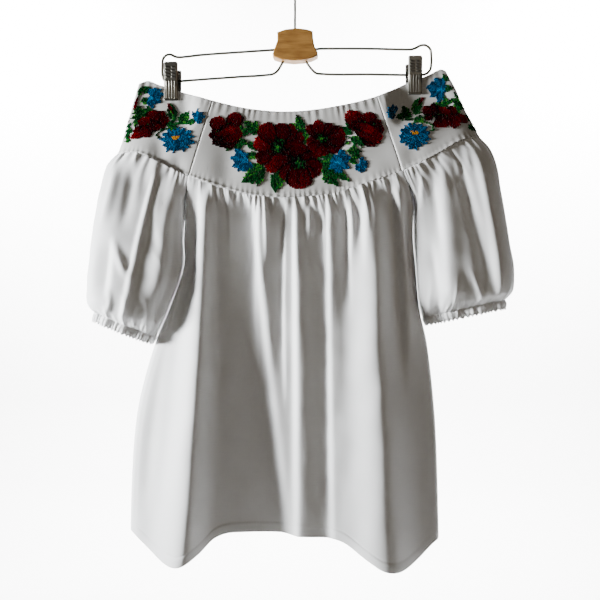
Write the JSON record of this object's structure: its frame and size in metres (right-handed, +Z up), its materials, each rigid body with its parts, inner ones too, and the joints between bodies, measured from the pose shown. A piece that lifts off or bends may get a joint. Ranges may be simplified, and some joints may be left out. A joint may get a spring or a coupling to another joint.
{
  "type": "off-shoulder blouse on a clip hanger",
  "caption": "Off-shoulder blouse with a wide embroidered yoke, gathered body and short puff sleeves, hung by clips from a wire hanger with a wooden block.",
  "frame": {"origin": "inner apex of the hanger's hook, where it hangs on a rail", "axes": "+X to the right as the front is seen, +Y from the front to the back, +Z up"},
  "size_m": [0.5523, 0.104, 0.7531],
  "materials": {
    "cotton": "smooth white poly-cotton with a soft sheen",
    "steel": "satin",
    "wood": "clear satin varnish"
  },
  "bodies": {
    "root": {"yoke_front": "cotton", "yoke_back": "cotton", "yoke_left": "cotton", "yoke_right": "cotton", "body_front": "cotton", "body_back": "cotton", "sleeve_left": "cotton", "sleeve_right": "cotton", "cuff_left": "cotton", "cuff_right": "cotton", "clip_left_front": "steel", "clip_left_back": "steel", "clip_left_spring": "steel", "clip_right_front": "steel", "clip_right_back": "steel", "clip_right_spring": "steel", "wire_left": "steel", "wire_right": "steel", "hanger_hook": "steel", "hanger_block": "wood"}
  },
  "joints": []
}
